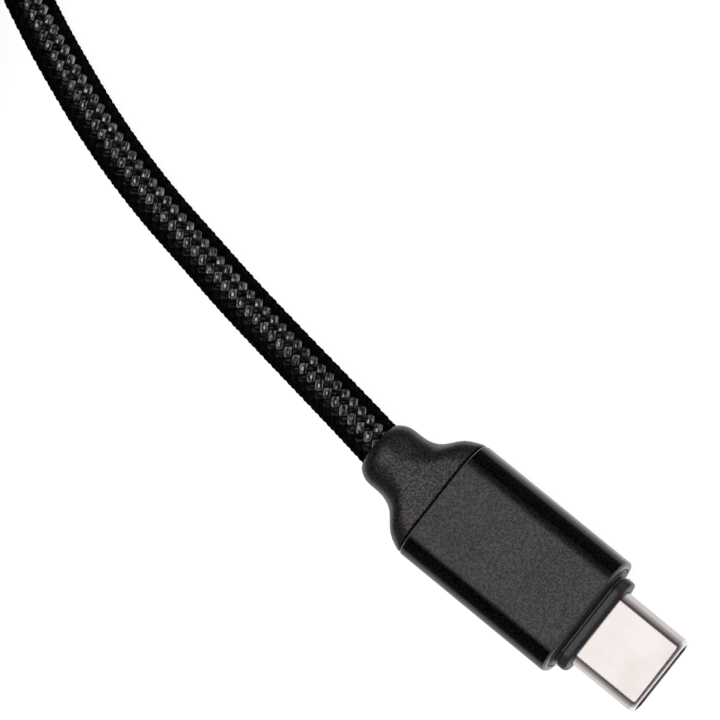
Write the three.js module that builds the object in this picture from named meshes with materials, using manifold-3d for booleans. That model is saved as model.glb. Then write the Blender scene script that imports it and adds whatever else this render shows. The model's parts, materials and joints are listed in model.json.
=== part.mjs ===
// A braided USB-C lead with a power meter built into its far plug.
//
// Millimetres, +Z up. The near plug lies flat on z = 0 and points along +X, with its origin at
// the middle of its underside. The lead leaves its boot along -X, and the rest of it is wound
// into a tied coil, with the metering plug lying on top of it.
//
// A plug is built in its own frame: x = 0 at the boot's neck, +X towards the tip, z = 0 on its
// axis. The metal head of a plug is built from the sleeve's front rim, forwards and backwards.

import * as THREE from 'three';
import Module from 'manifold-3d';
import { mergeVertices } from 'three/addons/utils/BufferGeometryUtils.js';

const wasm = await Module();
wasm.setup();

// ---- Driving dimensions -------------------------------------------------------------------

const CORD_DIAMETER = 4.5;
const CORD_RADIUS = CORD_DIAMETER / 2;

const SLEEVE_WIDTH = 12.6;
const SLEEVE_HEIGHT = 6.5;
const SLEEVE_CORNER = 2.6;
const SLEEVE_WALL = 0.6;
const SLEEVE_CHAMFER = 0.22;
const NEAR_SLEEVE_LENGTH = 17.3;
const FAR_SLEEVE_LENGTH = 30.4;

const BOOT_LENGTH = 7.75;
const BOOT_NECK_DIAMETER = 6.5;
const BOOT_SPIGOT_LENGTH = 1.6;
const SEAM = 0.16;

const COLLAR_PROUD = 1.45;
const SHELL_WIDTH = 8.34;
const SHELL_HEIGHT = 2.56;
const SHELL_CORNER = 1.2;
const SHELL_WALL = 0.3;
const SHELL_PROUD = 7.3;
const SHELL_BURIED = 6.0;

const CONTACTS_PER_ROW = 12;
const CONTACT_PITCH = 0.5;
const CONTACT_WIDTH = 0.25;
const CONTACT_THICKNESS = 0.12;

const FIT_GAP = 0.05; // between pieces that sit in one another
const CORD_GAP = 0.3; // between the lead's solids and what they meet

const CORNER_STEPS = 6; // points on each rounded corner of a section

// The coil: turns in two layers, wound inwards below and outwards above.
const COIL_CENTRE = new THREE.Vector3(-94.5, -13.5, 0);
const COIL_OUTER_TURN = 29.25;
const COIL_TURNS_PER_LAYER = 2.875;
const COIL_LIFT = 0.7; // the tie runs under the coil
const TIE_ANGLE = 350;
const TIE_WIDTH = 7.0;
const TIE_THICKNESS = 0.6;

const SLEEVE_REAR = BOOT_LENGTH + SEAM / 2;
const NEAR_RIM = SLEEVE_REAR + NEAR_SLEEVE_LENGTH;
const FAR_RIM = SLEEVE_REAR + FAR_SLEEVE_LENGTH;
const HEAD_PROUD = COLLAR_PROUD + SHELL_PROUD;
const NEAR_LENGTH = NEAR_RIM + HEAD_PROUD;
const AXIS_HEIGHT = SLEEVE_HEIGHT / 2;
const NEAR_NECK_X = -NEAR_LENGTH / 2;
const SLEEVE_INNER_WIDTH = SLEEVE_WIDTH - 2 * SLEEVE_WALL;
const SLEEVE_INNER_HEIGHT = SLEEVE_HEIGHT - 2 * SLEEVE_WALL;
const INSERT_WIDTH = SLEEVE_INNER_WIDTH - 2 * FIT_GAP; // of what fills the sleeve
const INSERT_HEIGHT = SLEEVE_INNER_HEIGHT - 2 * FIT_GAP;
const INSERT_CORNER = 2.0;

// ---- The lead's route, where it isn't coiled ------------------------------------------------

const LIE = 2.3; // height of the lead's axis where it lies on the surface

const RUN_ROUTE = [
  [NEAR_NECK_X - CORD_GAP, 0.2, AXIS_HEIGHT],
  [-20.5, 0.62, 3.2],
  [-24.5, 1.07, 2.97],
  [-30.4, 1.72, 2.58],
  [-36.2, 2.43, 2.36],
  [-42.0, 3.34, LIE],
  [-47.4, 4.22, LIE],
  [-52.6, 5.36, LIE],
  [-57.5, 6.76, LIE],
  [-62.2, 8.4, LIE],
  [-66.6, 10.1, LIE],
  [-71.0, 12.02, LIE],
  [-74.6, 13.7, LIE],
];

const COIL_ENTRY_ROUTE = [
  [-74.88, 13.81, LIE],
  [-75.3, 13.95, LIE],
  [-79.7, 15.22, 2.34],
  [-84.3, 15.86, 2.48],
  [-88.9, 16.09, 2.7],
  [-93.5, 15.96, 2.88],
  [-98.06, 15.53, 2.95],
];

// Up over the coil's outer turn.
const COIL_EXIT_ROUTE = [
  [-98.06, 15.53, 7.45],
  [-102.07, 14.75, 7.75],
  [-106.86, 13.01, 8.9],
  [-111.28, 10.46, 10.4],
  [-115.18, 7.18, 11.6],
  [-118.46, 3.28, 12.05],
];

// On top of the coil, and round to the far plug.
const TAIL_ROUTE = [
  [-118.75, 2.88, 12.05],
  [-121.01, -1.14, 12.08],
  [-122.75, -5.93, 12.12],
  [-123.37, -10.59, 12.2],
  [-122.28, -16.75, 12.35],
  [-119.16, -22.16, 12.65],
  [-114.37, -26.18, 12.9],
  [-110.32, -27.89, 13.0],
];

const FAR_HEADING = 345; // degrees, the way the far plug points
const FAR_NECK = new THREE.Vector3(-110.03, -27.97, 13.0);

// ---- Materials ------------------------------------------------------------------------------

const finish = (color, roughness, metalness = 0) =>
  new THREE.MeshStandardMaterial({ color, roughness, metalness });

const MATERIALS = {
  anodised: finish(0x1c1b1d, 0.38, 0.9),
  bootPlastic: finish(0x18171b, 0.62),
  collarPlastic: finish(0x141317, 0.45),
  nickel: finish(0xe9e4df, 0.24, 1),
  gold: finish(0xd9b25a, 0.3, 1),
  spring: finish(0xb9b6b0, 0.35, 1),
  insulator: finish(0x1a1a1c, 0.5),
  mould: finish(0xd8d8d2, 0.6),
  board: finish(0x1d4a33, 0.5),
  chip: finish(0x151517, 0.4),
  tinPlate: finish(0xb5b7b8, 0.35, 1),
  jacket: finish(0x202022, 0.7),
  redWire: finish(0xa32020, 0.5),
  blackWire: finish(0x1a1a1a, 0.5),
  whiteWire: finish(0xe4e2dc, 0.5),
  braid: finish(0x141315, 0.75),
  tie: finish(0x1b1b1d, 0.85),
  lens: finish(0x0c0d10, 0.08),
  display: finish(0x26282c, 0.4),
};

// ---- Geometry helpers -----------------------------------------------------------------------

// Points of a rounded rectangle in the YZ plane at station x. Its flats lie exactly at the
// half width and half height, and a circle is a rectangle whose corner is its radius.
function section(x, width, height, corner) {
  const points = [];
  const step = Math.PI / 2 / CORNER_STEPS;
  const reach = corner / Math.cos(step / 2);
  for (let quarter = 0; quarter < 4; quarter++) {
    const signY = quarter === 0 || quarter === 3 ? 1 : -1;
    const signZ = quarter < 2 ? 1 : -1;
    for (let i = 0; i < CORNER_STEPS; i++) {
      const angle = quarter * (Math.PI / 2) + (i + 0.5) * step;
      points.push(new THREE.Vector3(
        x,
        signY * (width / 2 - corner) + reach * Math.cos(angle),
        signZ * (height / 2 - corner) + reach * Math.sin(angle),
      ));
    }
  }
  return points;
}

const circle = (x, radius) => section(x, 2 * radius, 2 * radius, radius);

function signedVolume(geometry) {
  const position = geometry.getAttribute('position');
  const index = geometry.getIndex();
  const corners = [new THREE.Vector3(), new THREE.Vector3(), new THREE.Vector3()];
  let volume = 0;
  for (let i = 0; i < index.count; i += 3) {
    corners.forEach((corner, k) => corner.fromBufferAttribute(position, index.getX(i + k)));
    volume += corners[0].dot(corners[1].cross(corners[2])) / 6;
  }
  return volume;
}

// Skin over a row of sections. A hollow body's rings run out along the outside and back along
// the inside, so the last ring joins the first; a plain body is closed by a cap at each end.
function loft(rings, { hollow = false } = {}) {
  const count = rings[0].length;
  const faces = [];
  const bands = hollow ? rings.length : rings.length - 1;
  for (let ring = 0; ring < bands; ring++) {
    const here = ring * count;
    const next = ((ring + 1) % rings.length) * count;
    for (let i = 0; i < count; i++) {
      const j = (i + 1) % count;
      faces.push(here + i, next + i, next + j, here + i, next + j, here + j);
    }
  }
  if (!hollow) {
    const last = (rings.length - 1) * count;
    for (let i = 1; i < count - 1; i++) {
      faces.push(0, i, i + 1);
      faces.push(last, last + i + 1, last + i);
    }
  }
  const geometry = new THREE.BufferGeometry();
  geometry.setFromPoints(rings.flat());
  geometry.setIndex(faces);
  if (signedVolume(geometry) < 0) {
    for (let i = 0; i < faces.length; i += 3) {
      [faces[i + 1], faces[i + 2]] = [faces[i + 2], faces[i + 1]];
    }
    geometry.setIndex(faces);
  }
  geometry.computeVertexNormals();
  return geometry;
}

// A box given by its lowest and highest corners.
function block([x0, y0, z0], [x1, y1, z1]) {
  const geometry = new THREE.BoxGeometry(x1 - x0, y1 - y0, z1 - z0);
  geometry.translate((x0 + x1) / 2, (y0 + y1) / 2, (z0 + z1) / 2);
  return geometry;
}

// A strip whose side view is an outline of [x, z] points, from y0 to y1.
function stripAcrossY(outline, y0, y1) {
  const shape = new THREE.Shape(outline.map(([x, z]) => new THREE.Vector2(x, z)));
  const geometry = new THREE.ExtrudeGeometry(shape, { depth: y1 - y0, bevelEnabled: false });
  geometry.rotateX(Math.PI / 2);
  geometry.translate(0, y1, 0);
  return geometry;
}

// A strip whose top view is an outline of [x, y] points, from z0 to z1.
function stripAcrossZ(outline, z0, z1) {
  const shape = new THREE.Shape(outline.map(([x, y]) => new THREE.Vector2(x, y)));
  const geometry = new THREE.ExtrudeGeometry(shape, { depth: z1 - z0, bevelEnabled: false });
  geometry.translate(0, 0, z0);
  return geometry;
}

// The outline of a bent leaf: its lower line, and the same line again one thickness above.
const leaf = (line, thickness) => [
  ...line,
  ...line.map(([x, z]) => [x, z + thickness]).reverse(),
];

// A round tube along a smooth curve through the given points.
function tubeAlong(points, radius, sides, steps) {
  const shape = new THREE.Shape();
  for (let i = 0; i < sides; i++) {
    const angle = (2 * Math.PI * i) / sides;
    const corner = new THREE.Vector2(radius * Math.cos(angle), radius * Math.sin(angle));
    if (i === 0) shape.moveTo(corner.x, corner.y);
    else shape.lineTo(corner.x, corner.y);
  }
  shape.closePath();
  const path = new THREE.CatmullRomCurve3(
    points.map((point) => new THREE.Vector3(...point)), false, 'centripetal',
  );
  return new THREE.ExtrudeGeometry(shape, { steps, extrudePath: path, bevelEnabled: false });
}

function toSolid(geometry) {
  const bare = geometry.clone();
  bare.deleteAttribute('normal');
  bare.deleteAttribute('uv');
  const merged = mergeVertices(bare, 1e-4);
  return new wasm.Manifold(new wasm.Mesh({
    numProp: 3,
    vertProperties: new Float32Array(merged.getAttribute('position').array),
    triVerts: new Uint32Array(merged.getIndex().array),
  }));
}

function toGeometry(solid) {
  const mesh = solid.getMesh();
  const geometry = new THREE.BufferGeometry();
  geometry.setAttribute('position', new THREE.BufferAttribute(mesh.vertProperties, 3));
  geometry.setIndex(new THREE.BufferAttribute(mesh.triVerts, 1));
  geometry.computeVertexNormals();
  return geometry;
}

const cut = (body, tools) =>
  toGeometry(tools.reduce((solid, tool) => solid.subtract(toSolid(tool)), toSolid(body)));

const join = (pieces) =>
  toGeometry(pieces.slice(1).reduce((solid, piece) => solid.add(toSolid(piece)), toSolid(pieces[0])));

function part(name, geometry, material) {
  const mesh = new THREE.Mesh(geometry, material);
  mesh.name = name;
  return mesh;
}

// ---- The metal head of a plug: x = 0 at the sleeve's front rim -------------------------------

// Drawn nickel-plated tube, with a rounded lip round its mouth.
function shell() {
  const outer = (x, inset) => section(
    x, SHELL_WIDTH - 2 * inset, SHELL_HEIGHT - 2 * inset, SHELL_CORNER - inset,
  );
  return loft([
    outer(-SHELL_BURIED, 0),
    outer(HEAD_PROUD - 0.3, 0),
    outer(HEAD_PROUD - 0.1, 0.06),
    outer(HEAD_PROUD, 0.16),
    outer(HEAD_PROUD - 0.1, SHELL_WALL),
    outer(-SHELL_BURIED, SHELL_WALL),
  ], { hollow: true });
}

const HOUSING_HALF_WIDTH = 3.8;
const HOUSING_HALF_HEIGHT = 0.92;
const HOUSING_CORNER = 0.85;
const HOUSING_REAR = -2.1;
const HOUSING_FRONT = 7.0;
const CAVITY_HALF_HEIGHT = 0.66;
const CAVITY_HALF_WIDTH = 3.68;
const CAVITY_REAR = 1.1;
const CONTACT_SLOT_HALF_WIDTH = 3.02;
const CONTACT_SLOT_HEIGHTS = [0.18, 0.7];
const LATCH_SLOT_INNER = 3.2;
const LATCH_SLOT_HALF_HEIGHT = 0.45;
const CUT_THROUGH = 0.5; // how far a cutting block runs past what it cuts

// Moulded insulator: a cavity for the tongue of the socket in front, and behind it slots that
// carry the contacts and the latches.
function contactHousing() {
  const outline = (x) => section(
    x, 2 * HOUSING_HALF_WIDTH, 2 * HOUSING_HALF_HEIGHT, HOUSING_CORNER,
  );
  const cavity = block(
    [CAVITY_REAR, -CAVITY_HALF_WIDTH, -CAVITY_HALF_HEIGHT],
    [HOUSING_FRONT + CUT_THROUGH, CAVITY_HALF_WIDTH, CAVITY_HALF_HEIGHT],
  );
  const rear = HOUSING_REAR - CUT_THROUGH;
  const front = CAVITY_REAR + CUT_THROUGH;
  const slots = [];
  for (const turn of [0, Math.PI]) {
    const contactSlot = block(
      [rear, -CONTACT_SLOT_HALF_WIDTH, CONTACT_SLOT_HEIGHTS[0]],
      [front, CONTACT_SLOT_HALF_WIDTH, CONTACT_SLOT_HEIGHTS[1]],
    );
    const latchSlot = block(
      [rear, LATCH_SLOT_INNER, -LATCH_SLOT_HALF_HEIGHT],
      [front, CAVITY_HALF_WIDTH, LATCH_SLOT_HALF_HEIGHT],
    );
    slots.push(contactSlot.rotateX(turn), latchSlot.rotateX(turn));
  }
  return cut(loft([outline(HOUSING_REAR), outline(HOUSING_FRONT)]), [cavity, ...slots]);
}

const CARRIER_LOW = [-3.1, -3.0, 0.26];
const CARRIER_HIGH = [-2.4, 3.0, 0.62];
const CONTACT_TAIL = -4.1;
const CONTACT_TIP = 6.7;

// One row of sprung contacts, moulded into a carrier bar that lies across their roots.
function contactRow() {
  const fingerLine = [
    [CONTACT_TAIL, 0.35],
    [3.2, 0.35],
    [5.9, 0.27],
    [CONTACT_TIP, 0.4],
  ];
  const fingers = [];
  for (let i = 0; i < CONTACTS_PER_ROW; i++) {
    const y = (i - (CONTACTS_PER_ROW - 1) / 2) * CONTACT_PITCH;
    fingers.push(stripAcrossY(leaf(fingerLine, CONTACT_THICKNESS),
      y - CONTACT_WIDTH / 2, y + CONTACT_WIDTH / 2));
  }
  return join([block(CARRIER_LOW, CARRIER_HIGH), ...fingers]);
}

const LATCH_REAR = -3.0;
const LATCH_TIP = 6.6;
const LATCH_HALF_HEIGHT = 0.32;
const LATCH_INNER = 3.33;
const LATCH_OUTER = 3.48;

// Side latch: a thin arm with a hook near its tip that grips the socket's tongue.
function latchArm() {
  const outline = [
    [LATCH_REAR, LATCH_INNER],
    [5.1, LATCH_INNER],
    [5.9, 3.14],
    [LATCH_TIP, 3.35],
    [LATCH_TIP, LATCH_OUTER],
    [6.1, 3.4],
    [5.5, LATCH_OUTER],
    [LATCH_REAR, LATCH_OUTER],
  ];
  return stripAcrossZ(outline, -LATCH_HALF_HEIGHT, LATCH_HALF_HEIGHT);
}

const GROUND_SPRING_HALF_WIDTH = 2.9;
const GROUND_SPRING_THICKNESS = 0.1;

// Grounding leaf just inside the mouth, bowed towards the tongue.
function groundSpring() {
  const line = [
    [HOUSING_FRONT + 0.15, 0.8],
    [HOUSING_FRONT + 0.6, 0.62],
    [HOUSING_FRONT + 0.95, 0.62],
    [HOUSING_FRONT + 1.35, 0.78],
  ];
  return stripAcrossY(
    leaf(line, GROUND_SPRING_THICKNESS), -GROUND_SPRING_HALF_WIDTH, GROUND_SPRING_HALF_WIDTH,
  );
}

const CARD_REAR = -9.9;
const CARD_FRONT = -3.4;
const CARD_HALF_WIDTH = 3.6;
const CARD_HALF_THICKNESS = 0.3;
const CHIP_STATION = -6.6;

const paddleCard = () => block(
  [CARD_REAR, -CARD_HALF_WIDTH, -CARD_HALF_THICKNESS],
  [CARD_FRONT, CARD_HALF_WIDTH, CARD_HALF_THICKNESS],
);

const chipOnCard = (halfLength, halfWidth, height) => block(
  [CHIP_STATION - halfLength, -halfWidth, CARD_HALF_THICKNESS + FIT_GAP],
  [CHIP_STATION + halfLength, halfWidth, CARD_HALF_THICKNESS + FIT_GAP + height],
);

const CAN_WIDTH = 9.8;
const CAN_HEIGHT = 4.2;
const CAN_CORNER = 0.6;
const CAN_WALL = 0.2;
const CAN_REAR = -11.2;
const CAN_FRONT = -3.9;

// Folded tinplate can round the card and the back of the shell, open at both ends.
function shieldCan() {
  const ring = (x, inset) => section(
    x, CAN_WIDTH - 2 * inset, CAN_HEIGHT - 2 * inset, CAN_CORNER - inset,
  );
  return loft([
    ring(CAN_REAR, 0),
    ring(CAN_FRONT, 0),
    ring(CAN_FRONT, CAN_WALL),
    ring(CAN_REAR, CAN_WALL),
  ], { hollow: true });
}

const FLANGE_REAR = -1.2;

// Front collar: a flange inside the sleeve, a narrower neck that shows as a dark groove, and a
// rounded plate that stands proud round the shell.
function frontCollar() {
  const bore = (x) => section(
    x, SHELL_WIDTH + 2 * FIT_GAP, SHELL_HEIGHT + 2 * FIT_GAP, SHELL_CORNER + FIT_GAP,
  );
  return loft([
    section(FLANGE_REAR, INSERT_WIDTH, INSERT_HEIGHT, INSERT_CORNER),
    section(-0.1, INSERT_WIDTH, INSERT_HEIGHT, INSERT_CORNER),
    section(0.0, INSERT_WIDTH - 0.2, INSERT_HEIGHT - 0.2, INSERT_CORNER - 0.1),
    section(0.15, 10.6, 4.7, 1.75),
    section(0.27, 9.8, 3.9, 1.5),
    section(0.5, 9.8, 3.9, 1.5),
    section(0.6, 10.2, 4.3, 1.65),
    section(COLLAR_PROUD - 0.2, 10.2, 4.3, 1.65),
    section(COLLAR_PROUD, 9.85, 3.95, 1.5),
    bore(COLLAR_PROUD),
    bore(FLANGE_REAR),
  ], { hollow: true });
}

function head(prefix) {
  const group = new THREE.Group();
  const add = (name, geometry, material) => group.add(part(`${prefix}_${name}`, geometry, material));
  const turnedOver = (geometry) => geometry.rotateX(Math.PI);
  add('shell', shell(), MATERIALS.nickel);
  add('contact_housing', contactHousing(), MATERIALS.insulator);
  add('upper_contacts', contactRow(), MATERIALS.gold);
  add('lower_contacts', turnedOver(contactRow()), MATERIALS.gold);
  add('latch_left', latchArm(), MATERIALS.spring);
  add('latch_right', turnedOver(latchArm()), MATERIALS.spring);
  add('upper_ground_spring', groundSpring(), MATERIALS.spring);
  add('lower_ground_spring', turnedOver(groundSpring()), MATERIALS.spring);
  add('paddle_card', paddleCard(), MATERIALS.board);
  add('shield_can', shieldCan(), MATERIALS.tinPlate);
  add('front_collar', frontCollar(), MATERIALS.collarPlastic);
  return group;
}

// ---- The body and tail of a plug: x = 0 at the boot's neck ------------------------------------

const MOULD_REAR = 12.8;
const MOULD_FRONT_FROM_RIM = -1.4;

// The display window in the metering plug's sleeve, and the opening under it.
const WINDOW_LENGTH = 12.6;
const WINDOW_CENTRE = MOULD_REAR + 0.6 + WINDOW_LENGTH / 2;
const WINDOW_WIDTH = 5.6;

// Extruded aluminium sleeve with a fine chamfer round each end.
function sleeve(rim) {
  const outer = (x, inset) => section(
    x, SLEEVE_WIDTH - 2 * inset, SLEEVE_HEIGHT - 2 * inset, SLEEVE_CORNER - inset,
  );
  const endInset = SLEEVE_CHAMFER * 0.6;
  return loft([
    outer(SLEEVE_REAR, endInset),
    outer(SLEEVE_REAR + endInset, 0),
    outer(rim - SLEEVE_CHAMFER, 0),
    outer(rim, SLEEVE_CHAMFER),
    outer(rim, SLEEVE_WALL),
    outer(SLEEVE_REAR, SLEEVE_WALL),
  ], { hollow: true });
}

// Stations along the boot: [x, width, height, corner], from the neck's rounded rim through the
// waist to the full outline of the sleeve.
const BOOT_PROFILE = [
  [0.0, 5.1, 5.1, 2.5],
  [0.15, 5.4, 5.4, 2.65],
  [0.35, 5.7, 5.7, 2.8],
  [0.7, 6.1, 6.1, 3.0],
  [1.1, 6.38, 6.35, 3.1],
  [1.6, BOOT_NECK_DIAMETER, 6.4, 3.15],
  [2.4, BOOT_NECK_DIAMETER, 6.3, 3.1],
  [3.1, 6.62, 6.24, 3.05],
  [3.7, 6.95, 6.22, 3.0],
  [4.2, 7.42, 6.2, 3.0],
  [4.65, 8.08, 6.2, 2.95],
  [5.1, 9.08, 6.22, 2.9],
  [5.55, 10.15, 6.25, 2.85],
  [6.0, 11.02, 6.3, 2.8],
  [6.5, 11.65, 6.34, 2.75],
  [7.0, 12.1, 6.38, 2.7],
  [7.4, 12.38, 6.4, 2.65],
  [BOOT_LENGTH - SEAM / 2, 12.48, 6.4, 2.6],
];

// Moulded boot, with a spigot that clips into the sleeve and a bore for the lead.
function boot() {
  const boreRadius = CORD_RADIUS + FIT_GAP;
  const spigotEnd = BOOT_LENGTH + BOOT_SPIGOT_LENGTH;
  return loft([
    ...BOOT_PROFILE.map((station) => section(...station)),
    section(BOOT_LENGTH - SEAM / 2, INSERT_WIDTH, INSERT_HEIGHT, INSERT_CORNER),
    section(spigotEnd, INSERT_WIDTH, INSERT_HEIGHT, INSERT_CORNER),
    circle(spigotEnd, boreRadius),
    circle(0.3, boreRadius),
    circle(0.0, boreRadius + 0.1),
  ], { hollow: true });
}

const JACKET_END = 12.5;

const jacketEnd = () => loft([circle(0, CORD_RADIUS), circle(JACKET_END, CORD_RADIUS)]);

const FERRULE_REAR = 9.6;
const FERRULE_FRONT = 12.5;
const FERRULE_WALL = 0.28;
const CRIMP_REAR = 10.8;
const CRIMP_FRONT = 11.3;
const CRIMP_SLOPE = 0.15;
const CRIMP_DEPTH = 0.12;

// Crimped ring that grips the jacket and the braid inside the plug.
function crimpFerrule() {
  const inner = CORD_RADIUS + FIT_GAP;
  const outer = inner + FERRULE_WALL;
  return loft([
    circle(FERRULE_REAR, outer),
    circle(CRIMP_REAR - CRIMP_SLOPE, outer),
    circle(CRIMP_REAR, outer - CRIMP_DEPTH),
    circle(CRIMP_FRONT, outer - CRIMP_DEPTH),
    circle(CRIMP_FRONT + CRIMP_SLOPE, outer),
    circle(FERRULE_FRONT, outer),
    circle(FERRULE_FRONT, inner),
    circle(FERRULE_REAR, inner),
  ], { hollow: true });
}

// Hard inner moulding that fills the sleeve between the ferrule and the collar.
function innerMould(rim) {
  const front = rim + MOULD_FRONT_FROM_RIM;
  const passage = (x) => section(
    x, CAN_WIDTH + 2 * FIT_GAP, CAN_HEIGHT + 2 * FIT_GAP, CAN_CORNER + FIT_GAP,
  );
  return loft([
    section(MOULD_REAR, INSERT_WIDTH, INSERT_HEIGHT, INSERT_CORNER),
    section(front, INSERT_WIDTH, INSERT_HEIGHT, INSERT_CORNER),
    passage(front),
    passage(MOULD_REAR),
  ], { hollow: true });
}

// Insulated wires from the jacket's end to the card: [name, material, radius, y].
const WIRES = [
  ['vbus_wire', MATERIALS.redWire, 0.4, 1.2],
  ['ground_wire', MATERIALS.blackWire, 0.4, -1.2],
  ['cc_wire', MATERIALS.whiteWire, 0.28, 0],
];

const WIRE_START = JACKET_END + 0.1;
const WIRE_START_HEIGHT = 0.6;
const WIRE_ON_CARD = 1.7;
const WIRE_SIDES = 8;

// The wires fan out towards the card; the metering plug's first dip under its meter board.
function wire(cardRear, radius, y) {
  const landed = CARD_HALF_THICKNESS + FIT_GAP + radius;
  const dips = cardRear > 2 * WIRE_START;
  const middle = dips
    ? [[WIRE_START + 2.5, y, 0], [cardRear - 2.6, y * 1.3, 0], [cardRear - 0.7, y * 1.5, landed]]
    : [[cardRear - 0.5, y * 1.3, landed]];
  const route = [
    [WIRE_START, y * 0.9, WIRE_START_HEIGHT],
    ...middle,
    [cardRear + WIRE_ON_CARD, y * 1.6, landed],
  ];
  return tubeAlong(route, radius, WIRE_SIDES, route.length * 4);
}

function plug(prefix, rim) {
  const group = new THREE.Group();
  const add = (name, geometry, material) => group.add(part(`${prefix}_${name}`, geometry, material));
  const headGroup = head(prefix);
  headGroup.position.x = rim;
  group.add(headGroup);
  add('boot', boot(), MATERIALS.bootPlastic);
  add('jacket_end', jacketEnd(), MATERIALS.jacket);
  add('crimp_ferrule', crimpFerrule(), MATERIALS.tinPlate);
  for (const [name, material, radius, y] of WIRES) {
    add(name, wire(rim + CARD_REAR, radius, y), material);
  }
  return group;
}

// ---- The near plug ----------------------------------------------------------------------------

function nearPlug() {
  const group = plug('near', NEAR_RIM);
  group.add(part('near_sleeve', sleeve(NEAR_RIM), MATERIALS.anodised));
  group.add(part('near_inner_mould', innerMould(NEAR_RIM), MATERIALS.mould));
  const chip = part('near_marker_chip', chipOnCard(1.0, 1.0, 0.5), MATERIALS.chip);
  chip.position.x = NEAR_RIM;
  group.add(chip);
  group.position.set(NEAR_NECK_X, 0, AXIS_HEIGHT);
  return group;
}

// ---- The far plug, with the power meter -------------------------------------------------------

const METER_BOARD_UNDER = 0.8;
const METER_BOARD_TOP = 1.4;
const METER_BOARD_HALF_WIDTH = 4.2;
const LENS_SUNK = 0.05;
const WINDOW_FLOOR = 1.5;

const windowBlock = (inset, z0, z1) => block(
  [WINDOW_CENTRE - WINDOW_LENGTH / 2 + inset, -WINDOW_WIDTH / 2 + inset, z0],
  [WINDOW_CENTRE + WINDOW_LENGTH / 2 - inset, WINDOW_WIDTH / 2 - inset, z1],
);

function farPlug() {
  const group = plug('far', FAR_RIM);
  const add = (name, geometry, material) => group.add(part(`far_${name}`, geometry, material));
  const above = SLEEVE_HEIGHT;
  const moduleTop = SLEEVE_INNER_HEIGHT / 2 - FIT_GAP;
  const lensUnder = SLEEVE_INNER_HEIGHT / 2 + 0.03;
  const lensTop = SLEEVE_HEIGHT / 2 - LENS_SUNK;
  const window = windowBlock(0, WINDOW_FLOOR, above);
  const mouldWindow = windowBlock(-0.2, WINDOW_FLOOR - 0.3, above);
  add('sleeve', cut(sleeve(FAR_RIM), [window]), MATERIALS.anodised);
  add('inner_mould', cut(innerMould(FAR_RIM), [mouldWindow]), MATERIALS.mould);
  add('display_lens', windowBlock(FIT_GAP, lensUnder, lensTop), MATERIALS.lens);
  add('display_module', windowBlock(0.3, METER_BOARD_TOP + FIT_GAP, moduleTop), MATERIALS.display);
  add('meter_board', block(
    [MOULD_REAR + 0.3, -METER_BOARD_HALF_WIDTH, METER_BOARD_UNDER],
    [FAR_RIM + CARD_REAR - 2.0, METER_BOARD_HALF_WIDTH, METER_BOARD_TOP],
  ), MATERIALS.board);
  const shunt = part('far_shunt_resistor', chipOnCard(0.8, 1.6, 0.55), MATERIALS.chip);
  shunt.position.x = FAR_RIM;
  group.add(shunt);
  group.position.copy(FAR_NECK);
  group.rotation.z = THREE.MathUtils.degToRad(FAR_HEADING);
  return group;
}

// ---- The lead: a tube where it isn't coiled, the coil, and its tie ------------------------------

const CORD_SIDES = 10;

const COIL_SEGMENTS = 56;
const COIL_CORNER = 1.2;
const COIL_INNER_TURN = COIL_OUTER_TURN - CORD_DIAMETER * COIL_TURNS_PER_LAYER;

// The ring that the turns fill: two layers high, its edges cut off where the cord is round.
function coilRing() {
  const inner = COIL_INNER_TURN - CORD_RADIUS;
  const outer = COIL_OUTER_TURN + CORD_RADIUS;
  const low = COIL_LIFT;
  const high = COIL_LIFT + 2 * CORD_DIAMETER;
  const profile = [
    [inner + COIL_CORNER, low],
    [outer - COIL_CORNER, low],
    [outer, low + COIL_CORNER],
    [outer, high - COIL_CORNER],
    [outer - COIL_CORNER, high],
    [inner + COIL_CORNER, high],
    [inner, high - COIL_CORNER],
    [inner, low + COIL_CORNER],
    [inner + COIL_CORNER, low],
  ].map(([radius, z]) => new THREE.Vector2(radius, z));
  const ring = new THREE.LatheGeometry(profile, COIL_SEGMENTS);
  ring.rotateX(Math.PI / 2);
  ring.translate(COIL_CENTRE.x, COIL_CENTRE.y, 0);
  return ring;
}

const cordAlong = (route, steps) => tubeAlong(route, CORD_RADIUS, CORD_SIDES, steps);

const coil = () => join([coilRing(), cordAlong(COIL_ENTRY_ROUTE, 8), cordAlong(COIL_EXIT_ROUTE, 8)]);

const TIE_SIDE_SLACK = 0.6;
const TIE_TOP_SLACK = 0.1;

// Strap that wraps the coil's section at one place.
function coilTie() {
  const width = CORD_DIAMETER * (COIL_TURNS_PER_LAYER + 1) + 2 * TIE_SIDE_SLACK;
  const height = 2 * CORD_DIAMETER + 2 * TIE_TOP_SLACK;
  const ring = (x, thickness) => section(
    x, width + 2 * thickness, height + 2 * thickness, 0.8 + thickness * 0.8,
  );
  const geometry = loft([
    ring(-TIE_WIDTH / 2, TIE_THICKNESS),
    ring(TIE_WIDTH / 2, TIE_THICKNESS),
    ring(TIE_WIDTH / 2, 0),
    ring(-TIE_WIDTH / 2, 0),
  ], { hollow: true });
  const tie = part('coil_tie', geometry, MATERIALS.tie);
  const angle = THREE.MathUtils.degToRad(TIE_ANGLE);
  const meanTurn = (COIL_OUTER_TURN + COIL_INNER_TURN) / 2;
  tie.rotation.z = angle - Math.PI / 2;
  tie.position.set(
    COIL_CENTRE.x + meanTurn * Math.cos(angle),
    COIL_CENTRE.y + meanTurn * Math.sin(angle),
    COIL_LIFT + CORD_DIAMETER,
  );
  return tie;
}

// ---- The assembly -------------------------------------------------------------------------------

const lead = new THREE.Group();
lead.add(nearPlug());
lead.add(farPlug());
lead.add(part('cord_run', cordAlong(RUN_ROUTE, 14), MATERIALS.braid));
lead.add(part('cord_tail', cordAlong(TAIL_ROUTE, 8), MATERIALS.braid));
lead.add(part('cord_coil', coil(), MATERIALS.braid));
lead.add(coilTie());

export default lead;
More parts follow.
